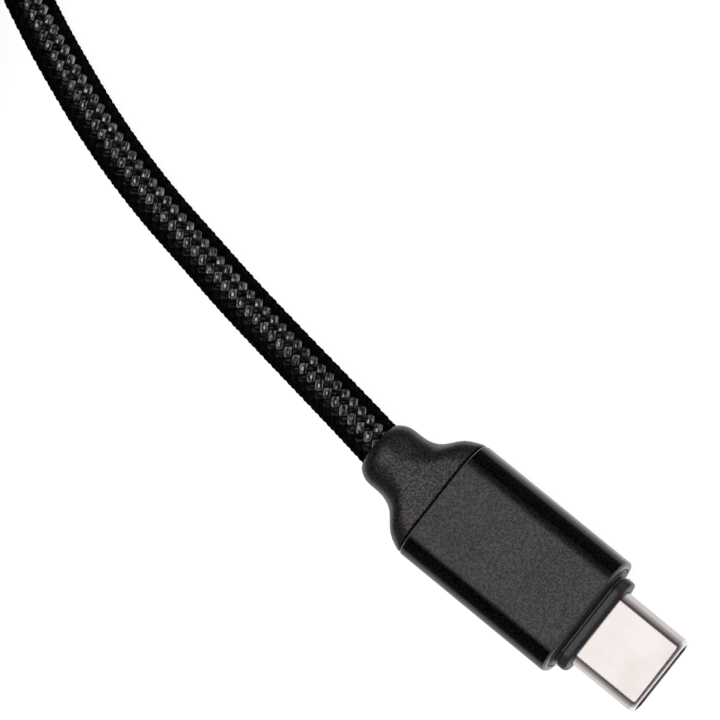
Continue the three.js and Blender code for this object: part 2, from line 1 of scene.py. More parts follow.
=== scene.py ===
"""A braided USB-C lead, with a power meter built into its far plug.

Blender's units are metres. Sizes here are in millimetres unless their comment says metres.
"""

import json
import math

import bmesh
import bpy
import numpy as np
from mathutils import Matrix, Vector


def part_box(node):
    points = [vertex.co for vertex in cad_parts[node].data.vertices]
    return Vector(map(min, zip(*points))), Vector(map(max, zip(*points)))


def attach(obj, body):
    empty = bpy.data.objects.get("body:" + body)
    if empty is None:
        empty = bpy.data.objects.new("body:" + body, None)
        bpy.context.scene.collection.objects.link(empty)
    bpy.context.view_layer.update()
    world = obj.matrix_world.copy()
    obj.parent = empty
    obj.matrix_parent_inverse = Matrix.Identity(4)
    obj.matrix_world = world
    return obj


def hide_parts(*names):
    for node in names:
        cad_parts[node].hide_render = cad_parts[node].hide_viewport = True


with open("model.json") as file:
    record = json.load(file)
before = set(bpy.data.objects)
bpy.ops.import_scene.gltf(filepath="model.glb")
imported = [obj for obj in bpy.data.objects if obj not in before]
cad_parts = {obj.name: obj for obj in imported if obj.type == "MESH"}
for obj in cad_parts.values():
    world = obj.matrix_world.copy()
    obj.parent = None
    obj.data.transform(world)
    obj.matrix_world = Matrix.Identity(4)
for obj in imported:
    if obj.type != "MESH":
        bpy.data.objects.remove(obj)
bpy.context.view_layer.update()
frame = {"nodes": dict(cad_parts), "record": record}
nodes = frame["nodes"]
MM = 0.001

# ---- Sizes, in millimetres, the same driving dimensions as the CAD model's ------------------

CORD_DIAMETER = 4.5
SLEEVE_WIDTH, SLEEVE_HEIGHT, SLEEVE_CORNER, SLEEVE_WALL = 12.6, 6.5, 2.6, 0.6
SLEEVE_CHAMFER = 0.22
BOOT_LENGTH, SEAM = 7.75, 0.16
SHELL_WIDTH, SHELL_HEIGHT, SHELL_CORNER, SHELL_WALL = 8.34, 2.56, 1.2, 0.3
SHELL_BURIED, COLLAR_PROUD, HEAD_PROUD = 6.0, 1.45, 8.75  # behind and in front of the sleeve's rim
FIT_GAP = 0.05
FIT_CORNER = 2.0  # of whatever fits inside the sleeve
CORNER_STEPS = 20  # points on each rounded corner of the sleeve and the boot
SLEEVE_REAR = BOOT_LENGTH + SEAM / 2
AXIS_HEIGHT = SLEEVE_HEIGHT / 2

near_neck_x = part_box("near_boot")[0].x / MM
near_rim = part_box("near_sleeve")[1].x / MM - near_neck_x
FAR_SLEEVE_LENGTH = 30.4
far_rim = SLEEVE_REAR + FAR_SLEEVE_LENGTH
FAR_HEADING = math.radians(345)
FAR_NECK = (-110.03, -27.97, 13.0)

NEAR_PLACE = Matrix.Translation((near_neck_x, 0, AXIS_HEIGHT))
FAR_PLACE = Matrix.Translation(FAR_NECK) @ Matrix.Rotation(FAR_HEADING, 4, "Z")

# ---- Camera ---------------------------------------------------------------------------------

VIEW_WIDTH = 66.5
VIEW_CENTRE = Vector((-23.53, 5.08, 3.0))
VIEW_TILT = Vector((0.212, 0.095, 0.973)).normalized()  # from the object towards the camera
VIEW_TURN = math.radians(39.24)  # how far the plug's axis points below the picture's right
VIEW_DISTANCE = 620.0


def make_camera():
    """A long lens over the near plug, turned so that the plug points down to the right."""
    along = (Vector((1, 0, 0)) - VIEW_TILT * VIEW_TILT.x).normalized()
    across = VIEW_TILT.cross(along)
    right = along * math.cos(VIEW_TURN) + across * math.sin(VIEW_TURN)
    up = across * math.cos(VIEW_TURN) - along * math.sin(VIEW_TURN)
    data = bpy.data.cameras.new("camera")
    data.sensor_width = 36
    data.lens = data.sensor_width * VIEW_DISTANCE / VIEW_WIDTH
    data.clip_start, data.clip_end = 0.01, 10
    camera = bpy.data.objects.new("camera", data)
    place = (VIEW_CENTRE + VIEW_TILT * VIEW_DISTANCE) * MM
    turned = Matrix((right, up, VIEW_TILT)).transposed().to_4x4()
    camera.matrix_world = Matrix.Translation(place) @ turned
    bpy.context.scene.collection.objects.link(camera)
    bpy.context.scene.camera = camera


make_camera()

# ---- Node helpers for the materials ---------------------------------------------------------


def set_stops(ramp, stops):
    """Gives a colour ramp its stops, as (position, colour)."""
    while len(ramp.elements) < len(stops):
        ramp.elements.new(0.5)
    for element, (position, colour) in zip(ramp.elements, stops):
        element.position = position
        element.color = (*colour, 1)


class Surface:
    """A Principled material with its texture nodes, in millimetres of the object."""

    def __init__(self, name, color, roughness, metallic=0.0, **sockets):
        self.material = bpy.data.materials.new(name)
        self.material.use_nodes = True
        self.tree = self.material.node_tree
        self.shader = self.tree.nodes["Principled BSDF"]
        self.shader.inputs["Base Color"].default_value = (*color, 1)
        self.shader.inputs["Roughness"].default_value = roughness
        self.shader.inputs["Metallic"].default_value = metallic
        for socket, value in sockets.items():
            self.shader.inputs[socket.replace("_", " ")].default_value = value
        coordinates = self.node("ShaderNodeTexCoord")
        scale = self.node("ShaderNodeVectorMath", operation="SCALE")
        scale.inputs["Scale"].default_value = 1 / MM
        self.link(coordinates.outputs["Object"], scale.inputs[0])
        self.place = scale.outputs[0]
        self.height = None

    def node(self, kind, **settings):
        node = self.tree.nodes.new(kind)
        for name, value in settings.items():
            setattr(node, name, value)
        return node

    def link(self, source, target):
        self.tree.links.new(source, target)

    def stretched(self, scale):
        """The place, scaled differently along each axis."""
        node = self.node("ShaderNodeVectorMath", operation="MULTIPLY")
        node.inputs[1].default_value = scale
        self.link(self.place, node.inputs[0])
        return node.outputs[0]

    def noise(self, grain, detail=2.0, roughness=0.55, place=None):
        """Noise whose features are about grain millimetres across."""
        node = self.node("ShaderNodeTexNoise")
        node.inputs["Scale"].default_value = 1 / grain
        node.inputs["Detail"].default_value = detail
        node.inputs["Roughness"].default_value = roughness
        self.link(place or self.place, node.inputs["Vector"])
        return node.outputs["Fac"]

    def cells(self, grain, feature="F1"):
        """Cells about grain millimetres across: the distance from their middles or their edges."""
        node = self.node("ShaderNodeTexVoronoi", feature=feature)
        node.inputs["Scale"].default_value = 1 / grain
        self.link(self.place, node.inputs["Vector"])
        return node.outputs["Distance"]

    def spread(self, value, low, high, to_low=0.0, to_high=1.0):
        """The value's range from low to high, spread over another range and held at its ends."""
        node = self.node("ShaderNodeMapRange")
        node.inputs["From Min"].default_value = low
        node.inputs["From Max"].default_value = high
        node.inputs["To Min"].default_value = to_low
        node.inputs["To Max"].default_value = to_high
        self.link(value, node.inputs["Value"])
        return node.outputs["Result"]

    def put(self, value, socket):
        """Sets a number on the socket, or links another node's output to it."""
        if isinstance(value, (int, float)):
            socket.default_value = value
        else:
            self.link(value, socket)

    def math(self, operation, first, second=0):
        node = self.node("ShaderNodeMath", operation=operation)
        self.put(first, node.inputs[0])
        self.put(second, node.inputs[1])
        return node.outputs[0]

    def mix(self, factor, first, second):
        """The first value where the factor is 0 and the second where it is 1."""
        node = self.node("ShaderNodeMix")
        self.link(factor, node.inputs["Factor"])
        self.put(first, node.inputs["A"])
        self.put(second, node.inputs["B"])
        return node.outputs["Result"]

    def ramp(self, value, stops, socket):
        """A colour ramp into one of the shader's sockets: stops are (position, colour)."""
        node = self.node("ShaderNodeValToRGB")
        set_stops(node.color_ramp, stops)
        self.link(value, node.inputs["Fac"])
        self.link(node.outputs["Color"], self.shader.inputs[socket])

    def colours(self, value, *stops):
        self.ramp(value, stops, "Base Color")

    def tint(self, value, *stops):
        """A colour ramp on the reflection's own tint, for grain that shows in a highlight."""
        self.ramp(value, stops, "Specular Tint")

    def shine(self, *stops, normal=None):
        """The reflection's strength as the surface turns away: stops are (turn, level), from 0 to 1."""
        weight = self.node("ShaderNodeLayerWeight")
        weight.inputs["Blend"].default_value = 0.5
        if normal is not None:
            self.link(normal, weight.inputs["Normal"])
        self.shader.inputs["Specular IOR Level"].default_value = stops[0][1]
        greys = [(turn, (level, level, level)) for turn, level in stops]
        self.ramp(weight.outputs["Facing"], greys, "Specular IOR Level")

    def roughness(self, value):
        self.link(value, self.shader.inputs["Roughness"])

    def bump(self, value, height, strength=1.0):
        """Raises the surface by value times height millimetres, over any bump before it."""
        node = self.node("ShaderNodeBump")
        node.inputs["Distance"].default_value = height * MM
        node.inputs["Strength"].default_value = strength
        self.link(value, node.inputs["Height"])
        if self.height is not None:
            self.link(self.height, node.inputs["Normal"])
        self.height = node.outputs["Normal"]
        self.link(self.height, self.shader.inputs["Normal"])


# ---- Materials ------------------------------------------------------------------------------


def blasted_aluminium():
    """Black anodising over a sand-blasted surface: a fine sparkle on near-black."""
    s = Surface("black_anodised", (0.012, 0.01, 0.011), 0.3, IOR=1.5)
    grain = s.noise(0.15, 2.0, 0.6)
    fleck = s.noise(0.3, 2.0)
    broad = s.noise(5.0, 2.0)
    mixed = s.math("ADD", s.math("MULTIPLY", grain, 0.65), s.math("MULTIPLY", fleck, 0.35))
    s.colours(
        mixed,
        (0.4, (0.001, 0.001, 0.0012)),
        (0.5, (0.0024, 0.0022, 0.0028)),
        (0.6, (0.01, 0.009, 0.011)),
    )
    s.tint(mixed, (0.43, (0.52, 0.48, 0.53)), (0.57, (1.0, 0.94, 0.99)))
    s.shine((0.045, 0.68), (0.095, 0.02), (0.38, 0.015), (0.5, 0.32))
    s.roughness(s.spread(broad, 0.3, 0.7, 0.25, 0.32))
    s.bump(mixed, 0.025, 0.6)
    return s.material


def cut_edge():
    """The turned chamfer round the sleeve's ends, where the anodising is smooth and thin."""
    s = Surface("anodised_edge", (0.03, 0.028, 0.032), 0.26, 0.6)
    wear = s.noise(0.5, 4.0)
    s.colours(wear, (0.35, (0.085, 0.08, 0.09)), (0.65, (0.13, 0.123, 0.137)))
    s.roughness(s.spread(wear, 0.3, 0.7, 0.22, 0.38))
    s.bump(s.noise(0.06, 2.0, place=s.stretched((12, 1, 1))), 0.008, 0.3)
    return s.material


def leathery_plastic():
    """Moulded boot: a coarse eroded grain with slightly shiny tops."""
    s = Surface("boot_plastic", (0.012, 0.011, 0.014), 0.34, IOR=1.5)
    grain = s.cells(0.21)
    fine = s.noise(0.15, 3.0, 0.65)
    broad = s.noise(2.6, 2.0)
    mixed = s.math("ADD", s.math("MULTIPLY", grain, 0.55), s.math("MULTIPLY", fine, 0.6))
    s.colours(
        mixed,
        (0.4, (0.03, 0.026, 0.028)),
        (0.52, (0.014, 0.012, 0.014)),
        (0.66, (0.003, 0.003, 0.0045)),
    )
    s.tint(mixed, (0.44, (1.0, 0.94, 0.97)), (0.66, (0.42, 0.4, 0.44)))
    s.shine((0.06, 1.0), (0.24, 0.1), (0.45, 0.05), (0.62, 0.3))
    s.roughness(s.spread(broad, 0.3, 0.7, 0.32, 0.42))
    s.bump(mixed, -0.045, 0.7)
    return s.material


def satin_plastic(name, color, roughness, grain=0.2):
    """Smooth moulding with a fine texture and slightly uneven colour."""
    s = Surface(name, color, roughness, IOR=1.48)
    fine = s.noise(grain, 3.0)
    broad = s.noise(grain * 12, 2.0)
    darker = tuple(c * 0.75 for c in color)
    lighter = tuple(min(c * 1.3 + 0.002, 1) for c in color)
    s.colours(broad, (0.3, darker), (0.7, lighter))
    s.shine((0.06, 0.7), (0.3, 0.12), (0.5, 0.08), (0.65, 0.22))
    s.roughness(s.spread(fine, 0.3, 0.7, roughness - 0.08, roughness + 0.08))
    s.bump(fine, 0.008, 0.5)
    return s.material


def nickel():
    """Satin nickel plate on a drawn shell: faint streaks along the draw and small rubs."""
    s = Surface("nickel_plate", (0.58, 0.54, 0.525), 0.16, 1.0)
    streaks = s.noise(0.5, 4.0, 0.6, place=s.stretched((0.12, 1, 1)))
    clouds = s.noise(2.8, 2.0, 0.4)
    rubs = s.spread(s.noise(0.35, 5.0, 0.7, place=s.stretched((0.5, 1.6, 1))), 0.68, 0.8)
    s.colours(clouds, (0.3, (0.535, 0.49, 0.475)), (0.7, (0.585, 0.54, 0.53)))
    rough = s.spread(streaks, 0.3, 0.7, 0.13, 0.2)
    s.roughness(s.math("ADD", rough, s.math("MULTIPLY", rubs, 0.08)))
    s.bump(streaks, 0.0015, 0.3)
    return s.material


def rolled_lip():
    """The shell's lip: its nickel is painted brighter than the shell's, a painted highlight round the
    rim, with scuffs in its tone and roughness.
    """
    s = Surface("nickel_lip", (0.72, 0.68, 0.67), 0.12, 1.0)
    scuffs = s.noise(0.4, 4.0, 0.6)
    s.colours(scuffs, (0.35, (0.74, 0.7, 0.69)), (0.65, (0.88, 0.85, 0.84)))
    s.roughness(s.spread(scuffs, 0.3, 0.7, 0.1, 0.22))
    s.bump(scuffs, 0.001, 0.3)
    return s.material


def shell_inside():
    """The inside of the shell: its nickel is painted dark, a painted shade for the unlit inside."""
    s = Surface("shell_inside", (0.03, 0.026, 0.036), 0.35, 1.0)
    stain = s.noise(0.8, 3.0)
    s.colours(stain, (0.3, (0.1, 0.088, 0.125)), (0.7, (0.24, 0.21, 0.28)))
    s.roughness(s.spread(stain, 0.3, 0.7, 0.28, 0.42))
    s.bump(stain, 0.002, 0.3)
    return s.material


def plated_metal(name, color, roughness, grain=0.15):
    """Plating over sheet metal, a little darker in patches."""
    s = Surface(name, color, roughness, 1.0)
    fine = s.noise(grain, 4.0)
    broad = s.noise(grain * 8, 2.0)
    darker = tuple(c * 0.82 for c in color)
    s.colours(broad, (0.35, darker), (0.65, color))
    s.roughness(s.spread(fine, 0.3, 0.7, roughness - 0.06, roughness + 0.08))
    s.bump(fine, 0.004, 0.4)
    return s.material


def solder_mask():
    """Green mask over copper: narrow tracks, lighter and slightly proud."""
    s = Surface("circuit_board", (0.012, 0.09, 0.045), 0.28, IOR=1.55)
    weave = s.noise(0.08, 2.0)
    tracks = s.spread(s.cells(0.9, "DISTANCE_TO_EDGE"), 0.04, 0.07)
    s.colours(tracks, (0.0, (0.03, 0.16, 0.07)), (1.0, (0.01, 0.075, 0.038)))
    s.roughness(s.spread(weave, 0.3, 0.7, 0.24, 0.36))
    s.bump(tracks, -0.02, 0.5)
    return s.material


def outward(s):
    """The direction straight out of the lead, which the mesh carries at each of its points."""
    return s.node("ShaderNodeAttribute", attribute_name="outward").outputs["Vector"]


def yarn(name, dark, light, level):
    """Braided yarn of black filaments, which shines where the lead's side is square to the view."""
    s = Surface(name, dark, 0.3, IOR=2.4)
    uv = s.node("ShaderNodeUVMap", uv_map="yarn")
    stretched = s.node("ShaderNodeVectorMath", operation="MULTIPLY")
    stretched.inputs[1].default_value = (1.1, 11.0, 1.0)
    s.link(uv.outputs["UV"], stretched.inputs[0])
    lines = s.noise(1.0, 2.0, place=stretched.outputs[0])
    loose = s.noise(0.3, 2.0)
    mixed = s.math("ADD", s.math("MULTIPLY", lines, 0.75), s.math("MULTIPLY", loose, 0.25))
    s.colours(mixed, (0.38, dark), (0.6, light))
    s.tint(mixed, (0.45, (0.08, 0.075, 0.08)), (0.55, (1.0, 0.94, 0.98)))
    s.shine((0.1, level), (0.2, 0.0), normal=outward(s))
    s.roughness(s.spread(loose, 0.3, 0.7, 0.18, 0.28))
    s.bump(lines, 0.02, 0.6)
    return s.material


def painted_braid():
    """The same braid where the lead is wound up: crossing yarns worked out from the UV map. Each crown
    is painted lighter, a painted highlight, the valleys between are painted dark, a painted shade, and
    one of the two families is painted darker than the other.
    """
    s = Surface("braid_wound", (0.004, 0.004, 0.0045), 0.3, IOR=2.1)
    uv = s.node("ShaderNodeUVMap", uv_map="yarn")
    parts = s.node("ShaderNodeSeparateXYZ")
    s.link(uv.outputs["UV"], parts.inputs[0])
    along, around = parts.outputs["X"], parts.outputs["Y"]
    one = s.math("ADD", along, around)
    other = s.math("SUBTRACT", along, around)
    crown_one = s.math("ABSOLUTE", s.math("SINE", s.math("MULTIPLY", one, math.pi)))
    crown_other = s.math("ABSOLUTE", s.math("SINE", s.math("MULTIPLY", other, math.pi)))
    column = s.math("COSINE", s.math("MULTIPLY", around, 2 * math.pi))
    other_over = s.math("GREATER_THAN", column, 0.0)
    crown = s.mix(other_over, crown_one, crown_other)
    # Painted shade: one family of yarns is painted darker than the other.
    painted_family_shade = s.mix(other_over, 1.0, 0.22)
    painted_crown_highlight = s.math("MULTIPLY", crown, painted_family_shade)
    fuzz = s.noise(0.2, 3.0)
    crown_highlight_and_fuzz = s.math("MULTIPLY", painted_crown_highlight, s.spread(fuzz, 0.3, 0.7, 0.6, 1.2))
    # Painted highlight on each crown and painted shade in the valleys, with fuzz in the tone.
    s.colours(crown_highlight_and_fuzz, (0.2, (0.001, 0.001, 0.0013)), (0.9, (0.0095, 0.009, 0.0102)))
    s.tint(crown_highlight_and_fuzz, (0.2, (0.04, 0.038, 0.04)), (0.85, (1.0, 0.94, 0.98)))
    s.shine((0.1, 1.0), (0.2, 0.0), normal=outward(s))
    s.roughness(s.spread(fuzz, 0.3, 0.7, 0.2, 0.3))
    s.bump(crown, 0.22, 0.9)
    return s.material


def strap_weave():
    """Woven hook-and-loop strap: a fine rib across it and a fuzzy face."""
    sheen = {"Sheen_Weight": 0.12, "Sheen_Roughness": 0.5}
    s = Surface("tie_weave", (0.01, 0.01, 0.011), 0.75, Specular_IOR_Level=0.25, **sheen)
    ribs = s.node("ShaderNodeTexWave", wave_type="BANDS", bands_direction="DIAGONAL")
    ribs.inputs["Scale"].default_value = 0.9
    ribs.inputs["Distortion"].default_value = 1.5
    s.link(s.place, ribs.inputs["Vector"])
    loops = s.cells(0.22)
    rib_height = s.math("MULTIPLY", ribs.outputs["Fac"], 0.4)
    mixed = s.math("ADD", rib_height, s.math("MULTIPLY", loops, 0.6))
    s.colours(mixed, (0.2, (0.002, 0.002, 0.0025)), (0.75, (0.032, 0.031, 0.034)))
    s.roughness(s.spread(loops, 0.0, 0.8, 0.65, 0.85))
    s.bump(mixed, 0.16, 0.9)
    return s.material


def smoked_window():
    """Dark polished plastic with smears and hairline scratches."""
    coat = {"Coat_Weight": 0.6, "Coat_Roughness": 0.03}
    s = Surface("smoked_window", (0.006, 0.007, 0.009), 0.06, IOR=1.5, **coat)
    smears = s.noise(3.0, 4.0, 0.6)
    hairs = s.noise(0.25, 3.0, 0.6, place=s.stretched((0.2, 1, 1)))
    s.colours(smears, (0.3, (0.004, 0.005, 0.007)), (0.7, (0.011, 0.012, 0.016)))
    s.roughness(s.spread(smears, 0.3, 0.7, 0.03, 0.12))
    s.bump(hairs, 0.001, 0.2)
    return s.material


def make_materials():
    return {
        "anodised_aluminium": blasted_aluminium(),
        "anodised_edge": cut_edge(),
        "boot_plastic": leathery_plastic(),
        "collar_plastic": satin_plastic("collar_plastic", (0.02, 0.018, 0.022), 0.36),
        "nickel_plate": nickel(),
        # painted highlight: the shell's lip is its nickel painted brighter
        "nickel_lip": rolled_lip(),
        # painted shade: the shell's inside is its nickel painted dark
        "shell_inside": shell_inside(),
        "gold_contacts": plated_metal("gold_contacts", (0.88, 0.64, 0.26), 0.22),
        "spring_steel": plated_metal("spring_steel", (0.62, 0.61, 0.6), 0.3),
        "tin_plate": plated_metal("tin_plate", (0.52, 0.53, 0.54), 0.36, 0.3),
        "insulator": satin_plastic("insulator", (0.016, 0.015, 0.018), 0.45),
        "inner_mould": satin_plastic("inner_mould", (0.62, 0.62, 0.58), 0.5, 0.3),
        "circuit_board": solder_mask(),
        "chip_plastic": satin_plastic("chip_plastic", (0.018, 0.018, 0.02), 0.5, 0.1),
        "jacket": satin_plastic("jacket", (0.03, 0.03, 0.032), 0.6, 0.25),
        "red_wire": satin_plastic("red_wire", (0.38, 0.02, 0.018), 0.35),
        "black_wire": satin_plastic("black_wire", (0.02, 0.02, 0.02), 0.35),
        "white_wire": satin_plastic("white_wire", (0.72, 0.71, 0.67), 0.35),
        # Both families are the same black yarn in two copies: the second is painted lighter and given
        # full shine, a painted highlight, and the first is painted darker and almost matte, a painted
        # shade.
        "braid": yarn("yarn_right_painted_shade", (0.0007, 0.0007, 0.001), (0.004, 0.0037, 0.0045), 0.06),
        "braid_light": yarn("yarn_left_painted_highlight", (0.001, 0.001, 0.0013), (0.009, 0.0085, 0.0096), 1.0),
        "braid_wound": painted_braid(),
        "tie_fabric": strap_weave(),
        "display_lens": smoked_window(),
        "display_plastic": satin_plastic("display_plastic", (0.035, 0.037, 0.045), 0.3, 0.2),
    }


materials = make_materials()

# ---- The lead's route, in metres, with the same points as the CAD model's -------------------

LIE = 0.0023  # the line's height where the lead lies on the table

# From the near boot along the table to the coil.
RUN_ROUTE = [
    (-0.0205, 0.00062, 0.0032),
    (-0.0245, 0.00107, 0.00297),
    (-0.0304, 0.00172, 0.00258),
    (-0.0362, 0.00243, 0.00236),
    (-0.042, 0.00334, LIE),
    (-0.0474, 0.00422, LIE),
    (-0.0526, 0.00536, LIE),
    (-0.0575, 0.00676, LIE),
    (-0.0622, 0.0084, LIE),
    (-0.0666, 0.0101, LIE),
    (-0.071, 0.01202, LIE),
    (-0.0753, 0.01395, LIE),
    (-0.0797, 0.01522, 0.00234),
    (-0.0843, 0.01586, 0.00248),
    (-0.0889, 0.01609, 0.0027),
    (-0.0935, 0.01596, 0.00288),
]

# Up over the coil's outer turn, along its top, and round to the far plug.
TAIL_ROUTE = [
    (-0.10207, 0.01475, 0.00775),
    (-0.10686, 0.01301, 0.0089),
    (-0.11128, 0.01046, 0.0104),
    (-0.11518, 0.00718, 0.0116),
    (-0.11846, 0.00328, 0.01205),
    (-0.12101, -0.00114, 0.01208),
    (-0.12275, -0.00593, 0.01212),
    (-0.12337, -0.01059, 0.0122),
    (-0.12228, -0.01675, 0.01235),
    (-0.11916, -0.02216, 0.01265),
    (-0.11437, -0.02618, 0.0129),
]

COIL_CENTRE = Vector((-0.0945, -0.0135, 0))
COIL_OUTER_TURN = 0.02925
COIL_TURNS_PER_LAYER = 2.875
COIL_CLIMB_TURNS = 0.25
COIL_START_ANGLE = math.radians(97)
COIL_LOW = 0.00295  # the lower layer's height
TURN_PITCH = CORD_DIAMETER * MM
POINTS_PER_TURN = 48

# In millimetres from a boot's neck: how far the braid reaches into the bore, and its first free point.
STUB, NECK_OUT = 0.6, 0.3
NEAR_START, NEAR_NECK = (STUB, 0.1, 0), (-NECK_OUT, 0.2, 0)

PIECES_PER_SPAN = 16  # of the smooth curve, between two points of the route
LINE_STEP = 0.00012


def coil_points():
    """The turns: inwards in the lower layer, up, and outwards in the upper layer."""
    turns = 2 * COIL_TURNS_PER_LAYER + COIL_CLIMB_TURNS
    inner = COIL_OUTER_TURN - TURN_PITCH * COIL_TURNS_PER_LAYER
    count = round(turns * POINTS_PER_TURN)
    points = []
    for i in range(count + 1):
        turn = turns * i / count
        if turn < COIL_TURNS_PER_LAYER:
            radius = COIL_OUTER_TURN - TURN_PITCH * turn
        else:
            radius = inner + TURN_PITCH * max(0, turn - COIL_TURNS_PER_LAYER - COIL_CLIMB_TURNS)
        climb = min(1, max(0, (turn - COIL_TURNS_PER_LAYER) / COIL_CLIMB_TURNS))
        height = COIL_LOW + TURN_PITCH * climb * climb * (3 - 2 * climb)
        angle = COIL_START_ANGLE + 2 * math.pi * turn
        points.append(COIL_CENTRE + Vector((radius * math.cos(angle), radius * math.sin(angle), height)))
    return points


def smooth_line(points, step):
    """A Catmull-Rom curve through the points, as points a step apart."""
    ends = [points[0] * 2 - points[1], *points, points[-1] * 2 - points[-2]]
    fine = []
    for a, b, c, d in zip(ends, ends[1:], ends[2:], ends[3:]):
        for i in range(PIECES_PER_SPAN):
            t = i / PIECES_PER_SPAN
            fine.append(0.5 * (2 * b + (c - a) * t + (2 * a - 5 * b + 4 * c - d) * t * t
                               + (3 * b - a - 3 * c + d) * t ** 3))
    fine.append(points[-1])
    line = np.array([tuple(p) for p in fine])
    along = np.concatenate([[0], np.cumsum(np.linalg.norm(np.diff(line, axis=0), axis=1))])
    at = np.linspace(0, along[-1], round(along[-1] / step) + 1)
    return np.stack([np.interp(at, along, line[:, k]) for k in range(3)], axis=1)


def whole_route():
    """From inside the near boot's bore, round the coil, to inside the far boot's bore."""
    start, neck = (NEAR_PLACE @ Vector(place) * MM for place in (NEAR_START, NEAR_NECK))
    far_neck, end = (FAR_PLACE @ Vector((x, 0, 0)) * MM for x in (-NECK_OUT, STUB))
    route = [start, neck, *map(Vector, RUN_ROUTE), *coil_points(), *map(Vector, TAIL_ROUTE)]
    return [*route, far_neck, end]


line = smooth_line(whole_route(), LINE_STEP)

# ---- Mesh helpers ---------------------------------------------------------------------------


def finish_piece(mesh, name, slots, sharp=35):
    """A piece on the root body: smooth, but for edges of more than sharp degrees."""
    for slot in slots:
        mesh.materials.append(materials[slot])
    mesh.shade_smooth()
    mesh.set_sharp_from_angle(angle=math.radians(sharp))
    piece = bpy.data.objects.new(name, mesh)
    bpy.context.scene.collection.objects.link(piece)
    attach(piece, "root")
    return piece


def section(x, width, height, corner, steps=14):
    """Points of a rounded rectangle in the YZ plane at station x, in millimetres."""
    points = []
    for quarter in range(4):
        sign_y = 1 if quarter in (0, 3) else -1
        sign_z = 1 if quarter < 2 else -1
        for i in range(steps):
            angle = quarter * math.pi / 2 + (i + 0.5) * math.pi / 2 / steps
            points.append(Vector((
                x,
                sign_y * (width / 2 - corner) + corner * math.cos(angle),
                sign_z * (height / 2 - corner) + corner * math.sin(angle),
            )))
    return points


def mesh_of(bm, name):
    """The mesh with its faces turned outwards. bm is used up."""
    bmesh.ops.recalc_face_normals(bm, faces=bm.faces)
    mesh = bpy.data.meshes.new(name)
    bm.to_mesh(mesh)
    bm.free()
    return mesh


def loft(name, rings, place, accents=None):
    """A hollow skin over a row of sections, the last joined to the first.

    accents gives the material slot of each band of faces that isn't in slot 0.
    """
    bm = bmesh.new()
    rows = [[bm.verts.new((place @ p) * MM) for p in ring] for ring in rings]
    count = len(rings[0])
    for band, (here, after) in enumerate(zip(rows, rows[1:] + rows[:1])):
        for i in range(count):
            j = (i + 1) % count
            face = bm.faces.new((here[i], after[i], after[j], here[j]))
            face.material_index = (accents or {}).get(band, 0)
    return mesh_of(bm, name)


# ---- The braided lead, in metres ------------------------------------------------------------

YARNS_EACH_WAY = 10
BRAID_PITCH = 0.011  # along the lead for one turn of a yarn
YARN_WIDTH, YARN_THICKNESS = 0.00092, 0.00036
YARN_MIDDLE = 0.00196  # from the lead's middle to a yarn's
YARN_SWING = 0.0001  # how far a yarn rises and sinks as it passes over and under
YARN_PINCH = 0.16  # how much narrower it is where it passes under
NECK_SWELL, NECK_SWELL_LENGTH = 0.00012, 0.02  # the braid is fuller where it leaves the boot
BRAIDED_LENGTH = 0.064  # with modelled yarns; beyond it the braid is painted on a tube
CORE_RADIUS = 0.0018
WOUND_RADIUS = 0.00222
WOUND_SIDES = 24
WOUND_STEP = 10  # line points between the tube's rings
WOUND_SWELL_LENGTH = 0.001  # over which the core grows to the tube

# Round a yarn: shares of its width and of half its thickness.
YARN_PROFILE = [(-0.5, -0.15), (-0.36, 0.62), (0.0, 1.0), (0.36, 0.62), (0.5, -0.15), (0.0, -0.6)]


def frames_along(points):
    """Tangent, side and up at each point, turned as little as possible along the line."""
    tangents = np.gradient(points, axis=0)
    tangents /= np.linalg.norm(tangents, axis=1)[:, None]
    sides = np.zeros_like(points)
    side = np.cross(tangents[0], (0, 0, 1))
    for i, tangent in enumerate(tangents):
        side = side - tangent * side.dot(tangent)
        side /= np.linalg.norm(side)
        sides[i] = side
    return tangents, sides, np.cross(sides, tangents)


def tube_faces(rows, columns, base):
    """Quads between rows of points, each row joined round."""
    i = np.arange(rows - 1)[:, None] * columns
    j = np.arange(columns)[None, :]
    k = (j + 1) % columns
    quads = np.stack([i + j, i + k, i + columns + k, i + columns + j], axis=-1).reshape(-1, 4)
    return quads + base


def yarn_strand(points, tangents, sides, ups, start_turn, direction):
    """One yarn's rings, over and under the yarns that wind the other way, and the way out there."""
    count = len(points)
    along = np.arange(count) * LINE_STEP
    turn = start_turn + direction * along / BRAID_PITCH
    angle = 2 * math.pi * turn
    weave = np.cos(2 * math.pi * YARNS_EACH_WAY * along / BRAID_PITCH) * direction
    out = sides * np.cos(angle)[:, None] + ups * np.sin(angle)[:, None]
    round_it = -sides * np.sin(angle)[:, None] + ups * np.cos(angle)[:, None]
    slope = 2 * math.pi * YARN_MIDDLE / BRAID_PITCH * direction
    run = tangents + round_it * slope
    run /= np.linalg.norm(run, axis=1)[:, None]
    across = np.cross(out, run)
    swell = NECK_SWELL * np.exp(-along / NECK_SWELL_LENGTH)
    middle = points + out * (YARN_MIDDLE + swell + YARN_SWING * weave)[:, None]
    narrow = 1 - YARN_PINCH * (weave < 0) * np.abs(weave)
    rings = []
    for u, w in YARN_PROFILE:
        ring = middle + across * (u * YARN_WIDTH * narrow)[:, None]
        ring = ring + out * (w * YARN_THICKNESS / 2)
        # The ribbon's edges follow the round of the lead.
        ring = ring - out * (u * YARN_WIDTH) ** 2 / (2 * YARN_MIDDLE)
        rings.append(ring)
    return np.stack(rings, axis=1), np.repeat(out[:, None, :], len(rings), axis=1)


